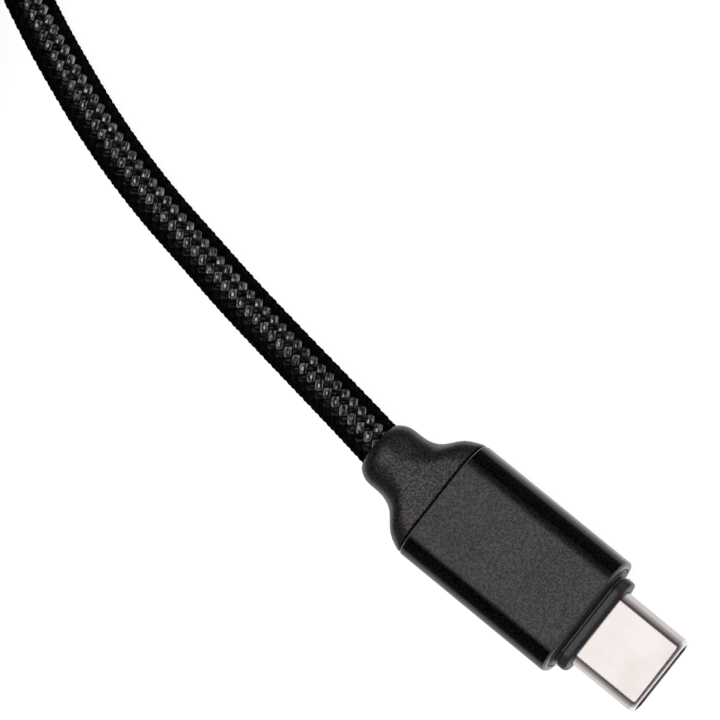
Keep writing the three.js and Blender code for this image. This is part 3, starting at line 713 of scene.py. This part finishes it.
def wound_tube(sides, ups, braided):
    """The lead's core, which grows to its full width where the yarns end: its rings and the way out."""
    at = np.unique(np.concatenate([np.arange(0, len(line), WOUND_STEP), [len(line) - 1]]))
    angle = 2 * np.pi * np.arange(WOUND_SIDES) / WOUND_SIDES
    swell = np.clip((at - braided) * LINE_STEP / WOUND_SWELL_LENGTH + 1, 0, 1)
    radius = CORE_RADIUS + (WOUND_RADIUS - CORE_RADIUS) * swell * swell * (3 - 2 * swell)
    out = (sides[at][:, None, :] * np.cos(angle)[None, :, None]
           + ups[at][:, None, :] * np.sin(angle)[None, :, None])
    return line[at][:, None, :] + out * radius[:, None, None], out


class Tubes:
    """Tubes gathered into one mesh, each with a material slot, a UV map and the way out of the lead."""

    def __init__(self):
        self.points, self.outward, self.quads, self.slots, self.uvs = [], [], [], [], []
        self.count = 0

    def add(self, rings, out, slot, u_step, v_values):
        """u grows by u_step from ring to ring, and v_values are the values of v round a ring."""
        rows, columns = rings.shape[:2]
        faces = tube_faces(rows, columns, self.count)
        row = (np.arange(rows - 1)[:, None] * np.ones(columns)).ravel()
        low = np.tile(v_values[:-1], rows - 1)
        high = np.tile(v_values[1:], rows - 1)
        corner_u = np.stack([row, row, row + 1, row + 1], axis=1) * u_step
        corner_v = np.stack([low, high, high, low], axis=1)
        self.points.append(rings.reshape(-1, 3))
        self.outward.append(out.reshape(-1, 3))
        self.quads.append(faces)
        self.slots.append(np.full(len(faces), slot))
        self.uvs.append(np.stack([corner_u, corner_v], axis=-1).reshape(-1, 2))
        self.count += rows * columns

    def mesh(self, name):
        """One mesh of them all, their ends filled."""
        mesh = bpy.data.meshes.new(name)
        mesh.from_pydata(np.concatenate(self.points), [], np.concatenate(self.quads).tolist())
        mesh.polygons.foreach_set("material_index", np.concatenate(self.slots).astype(np.int32))
        outward_values = mesh.attributes.new("outward", "FLOAT_VECTOR", "POINT")
        outward_values.data.foreach_set(
            "vector", np.concatenate(self.outward).astype(np.float32).ravel())
        layer = mesh.uv_layers.new(name="yarn")
        layer.data.foreach_set("uv", np.concatenate(self.uvs).astype(np.float32).ravel())
        bm = bmesh.new()
        bm.from_mesh(mesh)
        bmesh.ops.holes_fill(bm, edges=[e for e in bm.edges if e.is_boundary], sides=0)
        bmesh.ops.recalc_face_normals(bm, faces=bm.faces)
        bm.to_mesh(mesh)
        bm.free()
        return mesh


def make_lead():
    tangents, sides, ups = frames_along(line)
    braided = round(BRAIDED_LENGTH / LINE_STEP)
    tubes = Tubes()
    round_yarn = np.linspace(0, 1, len(YARN_PROFILE) + 1)
    head = [values[:braided] for values in (line, tangents, sides, ups)]
    for direction, slot in ((1, 0), (-1, 1)):
        for i in range(YARNS_EACH_WAY):
            rings, out = yarn_strand(*head, i / YARNS_EACH_WAY, direction)
            tubes.add(rings, out, slot, LINE_STEP / MM, round_yarn)
    rings, out = wound_tube(sides, ups, braided)
    round_lead = np.linspace(0, YARNS_EACH_WAY, WOUND_SIDES + 1)
    tubes.add(rings, out, 2, WOUND_STEP * LINE_STEP / BRAID_PITCH * YARNS_EACH_WAY, round_lead)
    slots = ["braid", "braid_light", "braid_wound"]
    lead = finish_piece(tubes.mesh("lead"), "lead", slots, sharp=80)
    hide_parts("cord_run", "cord_coil", "cord_tail")
    return lead


lead = make_lead()

# ---- Plugs, each in its own frame: x forwards from the boot's neck, z up from the axis ---------

LIP_LENGTH, LIP_INSET = 0.52, 0.312  # how far back the mouth's rounding starts, and how deep it goes
LIP_STRAIGHT = 0.4  # a ring behind the lip, which keeps its shading off the shell's faces
LIP_STEPS = 8
MOUTH_DEPTH, MOUTH_INSET = 0.08, 0.084  # the small rounding from the lip into the mouth
MOUTH_STEPS = 5


def quarter_turn(i, steps):
    """The angle after i of the steps of a quarter turn."""
    return i / steps * math.pi / 2


def shell(prefix, place, rim):
    """Drawn tube with a lip rolled round its mouth."""
    rear, front = rim - SHELL_BURIED, rim + HEAD_PROUD
    lip_rear = front - LIP_LENGTH

    def at(x, inset):
        corner = max(SHELL_CORNER - inset, 0.15)
        return section(x, SHELL_WIDTH - 2 * inset, SHELL_HEIGHT - 2 * inset, corner)

    rings = [at(rear, 0), at(lip_rear - LIP_STRAIGHT, 0)]
    for i in range(LIP_STEPS + 1):
        turn = quarter_turn(i, LIP_STEPS)
        rings.append(at(lip_rear + LIP_LENGTH * math.sin(turn), LIP_INSET * (1 - math.cos(turn))))
    for i in range(1, MOUTH_STEPS + 1):
        turn = quarter_turn(i, MOUTH_STEPS)
        depth = MOUTH_DEPTH * (1 - math.cos(turn))
        rings.append(at(front - depth, LIP_INSET + MOUTH_INSET * math.sin(turn)))
    rings.append(at(rear, SHELL_WALL))
    inner = len(rings) - 2
    # The lip's bands are painted brighter, a painted highlight, and the inside band is painted dark, a
    # painted shade.
    accents = {**dict.fromkeys(range(3, inner), 1), inner: 2}
    mesh = loft(prefix + "_shell_drawn", rings, place, accents)
    slots = ["nickel_plate", "nickel_lip", "shell_inside"]
    piece = finish_piece(mesh, prefix + "_shell_drawn", slots)
    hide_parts(prefix + "_shell")
    return piece


SLEEVE_SPANS = 12


def sleeve(prefix, place, rim, has_window):
    """Extruded aluminium sleeve. Its end chamfers are smooth, and the rear one is smaller."""
    front_chamfer, rear_chamfer = SLEEVE_CHAMFER, SLEEVE_CHAMFER * 0.6

    def at(x, inset):
        width, height = SLEEVE_WIDTH - 2 * inset, SLEEVE_HEIGHT - 2 * inset
        return section(x, width, height, SLEEVE_CORNER - inset, CORNER_STEPS)

    rings = [
        at(SLEEVE_REAR, rear_chamfer),
        at(SLEEVE_REAR + rear_chamfer * 0.35, rear_chamfer * 0.3),
        at(SLEEVE_REAR + rear_chamfer, 0),
    ]
    body_rear, body_front = SLEEVE_REAR + 2 * rear_chamfer, rim - 2 * front_chamfer
    for i in range(SLEEVE_SPANS + 1):
        rings.append(at(body_rear + (body_front - body_rear) * i / SLEEVE_SPANS, 0))
    rings += [
        at(rim - front_chamfer, 0),
        at(rim - front_chamfer * 0.3, front_chamfer * 0.35),
        at(rim, front_chamfer),
        at(rim, SLEEVE_WALL),
        at(SLEEVE_REAR, SLEEVE_WALL),
    ]
    last = len(rings) - 1
    accents = dict.fromkeys((0, 1, last - 4, last - 3, last - 2), 1)
    mesh = loft(prefix + "_sleeve_blasted", rings, place, accents)
    slots = ["anodised_aluminium", "anodised_edge"]
    piece = finish_piece(mesh, prefix + "_sleeve_blasted", slots, sharp=20)
    if has_window:
        cut_window(piece, place)
    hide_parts(prefix + "_sleeve")
    return piece


SPIGOT_WIDTH = SLEEVE_WIDTH - 2 * SLEEVE_WALL - 2 * FIT_GAP
SPIGOT_HEIGHT = SLEEVE_HEIGHT - 2 * SLEEVE_WALL - 2 * FIT_GAP
SPIGOT_LENGTH = 1.6  # from the seam into the sleeve
BORE_FRONT = 0.25  # the bore starts behind the boot's rounded rim
BOOT_BORE = CORD_DIAMETER / 2 + FIT_GAP

# Station forwards from the neck, width, height and corner.
BOOT_PROFILE = [
    (0.0, 5.0, 5.0, 2.5),
    (0.03, 5.16, 5.16, 2.56),
    (0.15, 5.4, 5.4, 2.68),
    (0.35, 5.72, 5.72, 2.84),
    (0.7, 6.1, 6.1, 3.0),
    (1.1, 6.37, 6.34, 3.1),
    (1.6, 6.48, 6.38, 3.14),
    (2.4, 6.5, 6.28, 3.1),
    (3.1, 6.62, 6.24, 3.05),
    (3.7, 6.95, 6.22, 3.0),
    (4.2, 7.42, 6.2, 2.98),
    (4.65, 8.08, 6.2, 2.95),
    (5.1, 9.08, 6.22, 2.9),
    (5.55, 10.15, 6.25, 2.85),
    (6.0, 11.02, 6.3, 2.8),
    (6.5, 11.65, 6.34, 2.75),
    (7.0, 12.1, 6.38, 2.7),
    (7.4, 12.4, 6.4, 2.66),
    (7.56, 12.44, 6.4, 2.62),
    (7.63, 12.4, 6.36, 2.6),
    (BOOT_LENGTH - SEAM / 2, 12.26, 6.22, 2.56),
]


def boot(prefix, place):
    """Moulded strain relief, with a spigot that fills the sleeve's rear and a bore for the lead."""
    spigot = (SPIGOT_WIDTH, SPIGOT_HEIGHT, FIT_CORNER)
    bore = (2 * BOOT_BORE, 2 * BOOT_BORE, BOOT_BORE)
    stations = [
        *BOOT_PROFILE,
        (BOOT_LENGTH - SEAM / 2, *spigot),
        (BOOT_LENGTH + SPIGOT_LENGTH, *spigot),
        (BOOT_LENGTH + SPIGOT_LENGTH, *bore),
        (BORE_FRONT, *bore),
    ]
    rings = [section(*station, CORNER_STEPS) for station in stations]
    mesh = loft(prefix + "_boot_moulded", rings, place)
    piece = finish_piece(mesh, prefix + "_boot_moulded", ["boot_plastic"], sharp=50)
    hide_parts(prefix + "_boot")
    return piece


COLLAR_BURIED = 1.2  # behind the sleeve's rim

# Station in front of the sleeve's rim, width, height and corner: a groove, then the collar's rim.
COLLAR_PROFILE = [
    (-COLLAR_BURIED, SPIGOT_WIDTH, SPIGOT_HEIGHT, FIT_CORNER),
    (-0.12, SPIGOT_WIDTH, SPIGOT_HEIGHT, FIT_CORNER),
    (-0.03, SPIGOT_WIDTH - 0.08, SPIGOT_HEIGHT - 0.08, 1.96),
    (0.0, SPIGOT_WIDTH - 0.25, SPIGOT_HEIGHT - 0.25, 1.88),
    (0.14, 10.75, 4.85, 1.8),
    (0.2, 10.5, 4.6, 1.7),
    (0.28, 9.85, 3.95, 1.5),
    (0.48, 9.8, 3.9, 1.5),
    (0.54, 10.05, 4.15, 1.6),
    (0.62, 10.2, 4.3, 1.65),
    (COLLAR_PROUD - 0.3, 10.2, 4.3, 1.65),
    (COLLAR_PROUD - 0.12, 10.12, 4.22, 1.62),
    (COLLAR_PROUD - 0.03, 9.96, 4.06, 1.56),
    (COLLAR_PROUD, 9.76, 3.86, 1.48),
]


def front_collar(prefix, place, rim):
    """Moulded collar between the sleeve and the shell."""
    bore = (SHELL_WIDTH + 2 * FIT_GAP, SHELL_HEIGHT + 2 * FIT_GAP, SHELL_CORNER + FIT_GAP)
    stations = [*COLLAR_PROFILE, (COLLAR_PROUD, *bore), (-COLLAR_BURIED, *bore)]
    rings = [section(rim + x, *rest) for x, *rest in stations]
    mesh = loft(prefix + "_collar_moulded", rings, place)
    piece = finish_piece(mesh, prefix + "_collar_moulded", ["collar_plastic"])
    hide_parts(prefix + "_front_collar")
    return piece


# The display's window in the far sleeve, as in the CAD model.
WINDOW_LENGTH, WINDOW_WIDTH, WINDOW_CORNER = 12.6, 5.6, 0.5
WINDOW_REAR = 13.4
WINDOW_CENTRE = WINDOW_REAR + WINDOW_LENGTH / 2
CUTTER_LOW, CUTTER_HIGH = 1.5, 5.0  # heights on both sides of the sleeve's upper wall
WINDOW_CORNER_STEPS = 6


def window_outline():
    """Points of a rounded rectangle, from the boot's neck along the sleeve and across it."""
    points = []
    for quarter in range(4):
        sign_x = 1 if quarter in (0, 3) else -1
        sign_y = 1 if quarter < 2 else -1
        for i in range(WINDOW_CORNER_STEPS + 1):
            angle = quarter * math.pi / 2 + quarter_turn(i, WINDOW_CORNER_STEPS)
            points.append((
                WINDOW_CENTRE + sign_x * (WINDOW_LENGTH / 2 - WINDOW_CORNER)
                + WINDOW_CORNER * math.cos(angle),
                sign_y * (WINDOW_WIDTH / 2 - WINDOW_CORNER) + WINDOW_CORNER * math.sin(angle),
            ))
    return points


def cut_window(piece, place):
    """Cuts the window through the sleeve's upper wall."""
    bm = bmesh.new()
    outline = window_outline()
    low, high = (
        [bm.verts.new((place @ Vector((x, y, height))) * MM) for x, y in outline]
        for height in (CUTTER_LOW, CUTTER_HIGH)
    )
    bm.faces.new(low)
    bm.faces.new(list(reversed(high)))
    for i in range(len(outline)):
        j = (i + 1) % len(outline)
        bm.faces.new((low[i], high[i], high[j], low[j]))
    cutter = bpy.data.objects.new("window_cutter", mesh_of(bm, "window_cutter"))
    bpy.context.scene.collection.objects.link(cutter)
    cut = piece.modifiers.new("window", "BOOLEAN")
    cut.operation = "DIFFERENCE"
    cut.solver = "EXACT"
    cut.object = cutter
    bpy.context.view_layer.update()
    evaluated = piece.evaluated_get(bpy.context.evaluated_depsgraph_get())
    result = bpy.data.meshes.new_from_object(evaluated)
    piece.modifiers.clear()
    piece.data = result
    bpy.data.objects.remove(cutter)


def plug(prefix, place, rim, has_window):
    """The pieces that show outside a plug, whose sleeve ends at rim."""
    return [
        shell(prefix, place, rim),
        sleeve(prefix, place, rim, has_window),
        boot(prefix, place),
        front_collar(prefix, place, rim),
    ]


plug("near", NEAR_PLACE, near_rim, False)
far_pieces = plug("far", FAR_PLACE, far_rim, True)

# ---- The coil's tie -------------------------------------------------------------------------

TIE_ANGLE = math.radians(350)
TIE_WIDTH, TIE_THICKNESS, TIE_ROUNDING = 7.0, 0.6, 0.15
TIE_GAP = 0.03  # between the strap and the lead
TIE_BEND_STEPS, TIE_SPANS = 8, 8


def strands_under_tie():
    """Where the coil's outermost strands cross the tie's plane: distance from the axis and height."""
    outer, pitch = COIL_OUTER_TURN / MM, CORD_DIAMETER
    inner = outer - pitch * COIL_TURNS_PER_LAYER
    turn = (TIE_ANGLE - COIL_START_ANGLE) / (2 * math.pi) % 1
    upper_turn = turn + 1 - COIL_CLIMB_TURNS - COIL_TURNS_PER_LAYER % 1
    low, high = COIL_LOW / MM, COIL_LOW / MM + pitch
    return [
        (outer - pitch * (turn + 2), low),
        (outer - pitch * turn, low),
        (inner + pitch * (upper_turn + 2), high),
        (inner + pitch * upper_turn, high),
    ]


def round_strands(x, reach):
    """The line of a strap drawn tight round the strands, reach millimetres from their middles."""
    corners = strands_under_tie()
    points = []
    for before, corner, after in zip(corners[-1:] + corners, corners, corners[1:] + corners[:1]):
        start = math.atan2(corner[1] - before[1], corner[0] - before[0]) - math.pi / 2
        end = math.atan2(after[1] - corner[1], after[0] - corner[0]) - math.pi / 2
        bend = (end - start) % (2 * math.pi)
        for i in range(TIE_BEND_STEPS + 1):
            angle = start + bend * i / TIE_BEND_STEPS
            points.append(Vector((
                corner[0] + reach * math.cos(angle), x, corner[1] + reach * math.sin(angle),
            )))
    return points


def coil_tie():
    """A strap drawn tight round the coil."""
    place = Matrix.Translation(COIL_CENTRE / MM) @ Matrix.Rotation(TIE_ANGLE, 4, "Z")
    inside = CORD_DIAMETER / 2 + TIE_GAP
    outside = inside + TIE_THICKNESS
    half = TIE_WIDTH / 2
    flat = half - TIE_ROUNDING
    shoulder = TIE_ROUNDING * 0.3
    rings = [
        round_strands(-half, inside + TIE_ROUNDING),
        round_strands(-half + shoulder, outside - shoulder),
        *(round_strands(-flat + 2 * flat * i / TIE_SPANS, outside) for i in range(TIE_SPANS + 1)),
        round_strands(half - shoulder, outside - shoulder),
        round_strands(half, inside + TIE_ROUNDING),
        round_strands(half, inside),
        round_strands(-half, inside),
    ]
    mesh = loft("tie_strap", rings, place)
    piece = finish_piece(mesh, "tie_strap", ["tie_fabric"], sharp=50)
    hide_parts("coil_tie")
    return piece


tie = coil_tie()

# ---- CAD nodes that stay --------------------------------------------------------------------

LENS_EDGE = 0.2


def dress_cad_nodes():
    """Each CAD node takes its slot's material, and the lens has its edges rounded."""
    slot_of = {row["node"]: row["material_slot"] for row in frame["record"]["subparts"]}
    for name, node in nodes.items():
        node.data.materials.clear()
        node.data.materials.append(materials[slot_of[name]])
    edge = nodes["far_display_lens"].modifiers.new("edge", "BEVEL")
    edge.width = LENS_EDGE * MM
    edge.segments = 3


dress_cad_nodes()

# ---- Floor, lights and world, in metres -----------------------------------------------------

FLOOR_HALF = 1.5
FLOOR_DROP = 0.00002  # keeps the floor clear of what lies on it
FLOOR_GLOW = 0.9
SOFTBOX_DIRECTION = Vector((-VIEW_TILT.x, -VIEW_TILT.y, VIEW_TILT.z))  # mirrored by level faces
SOFTBOX_DISTANCE, SOFTBOX_SIDE, SOFTBOX_POWER = 0.9, 0.7, 2.35


def make_floor():
    """A white floor with a faint unevenness, which glows so that no part of it turns grey."""
    corners = [(x * FLOOR_HALF, y * FLOOR_HALF, 0) for x, y in ((-1, -1), (1, -1), (1, 1), (-1, 1))]
    mesh = bpy.data.meshes.new("floor")
    mesh.from_pydata(corners, [], [(0, 1, 2, 3)])
    s = Surface("floor_white", (0.4, 0.4, 0.4), 0.8, Specular_IOR_Level=0.1)
    grain = s.noise(40.0, 2.0)
    s.colours(grain, (0.0, (0.39, 0.39, 0.39)), (1.0, (0.41, 0.41, 0.41)))
    s.shader.inputs["Emission Color"].default_value = (1, 1, 1, 1)
    s.shader.inputs["Emission Strength"].default_value = FLOOR_GLOW
    mesh.materials.append(s.material)
    floor = bpy.data.objects.new("floor", mesh)
    floor.location.z = -FLOOR_DROP
    bpy.context.scene.collection.objects.link(floor)


def make_softbox():
    """A square softbox that faces the middle of the view."""
    data = bpy.data.lights.new("overhead", "AREA")
    data.shape = "RECTANGLE"
    data.size, data.size_y = SOFTBOX_SIDE, SOFTBOX_SIDE
    data.energy = SOFTBOX_POWER
    light = bpy.data.objects.new("overhead", data)
    light.location = VIEW_CENTRE * MM + SOFTBOX_DIRECTION * SOFTBOX_DISTANCE
    light.rotation_euler = SOFTBOX_DIRECTION.to_track_quat("Z", "Y").to_euler()
    bpy.context.scene.collection.objects.link(light)


def make_world():
    """A dim room: darkest overhead, with paler walls lower down."""
    world = bpy.data.worlds.new("world")
    world.use_nodes = True
    tree = world.node_tree
    direction = tree.nodes.new("ShaderNodeTexCoord")
    parts = tree.nodes.new("ShaderNodeSeparateXYZ")
    walls = tree.nodes.new("ShaderNodeValToRGB")
    tree.links.new(direction.outputs["Generated"], parts.inputs[0])
    tree.links.new(parts.outputs["Z"], walls.inputs["Fac"])
    tree.links.new(walls.outputs["Color"], tree.nodes["Background"].inputs["Color"])
    stops = ((0.0, (0.8, 0.81, 0.85)), (0.5, (0.42, 0.42, 0.45)), (0.76, (0.13, 0.11, 0.105)))
    set_stops(walls.color_ramp, stops)
    tree.nodes["Background"].inputs["Strength"].default_value = 1.0
    bpy.context.scene.world = world


make_floor()
make_world()
make_softbox()
bpy.context.scene.view_settings.view_transform = "Standard"
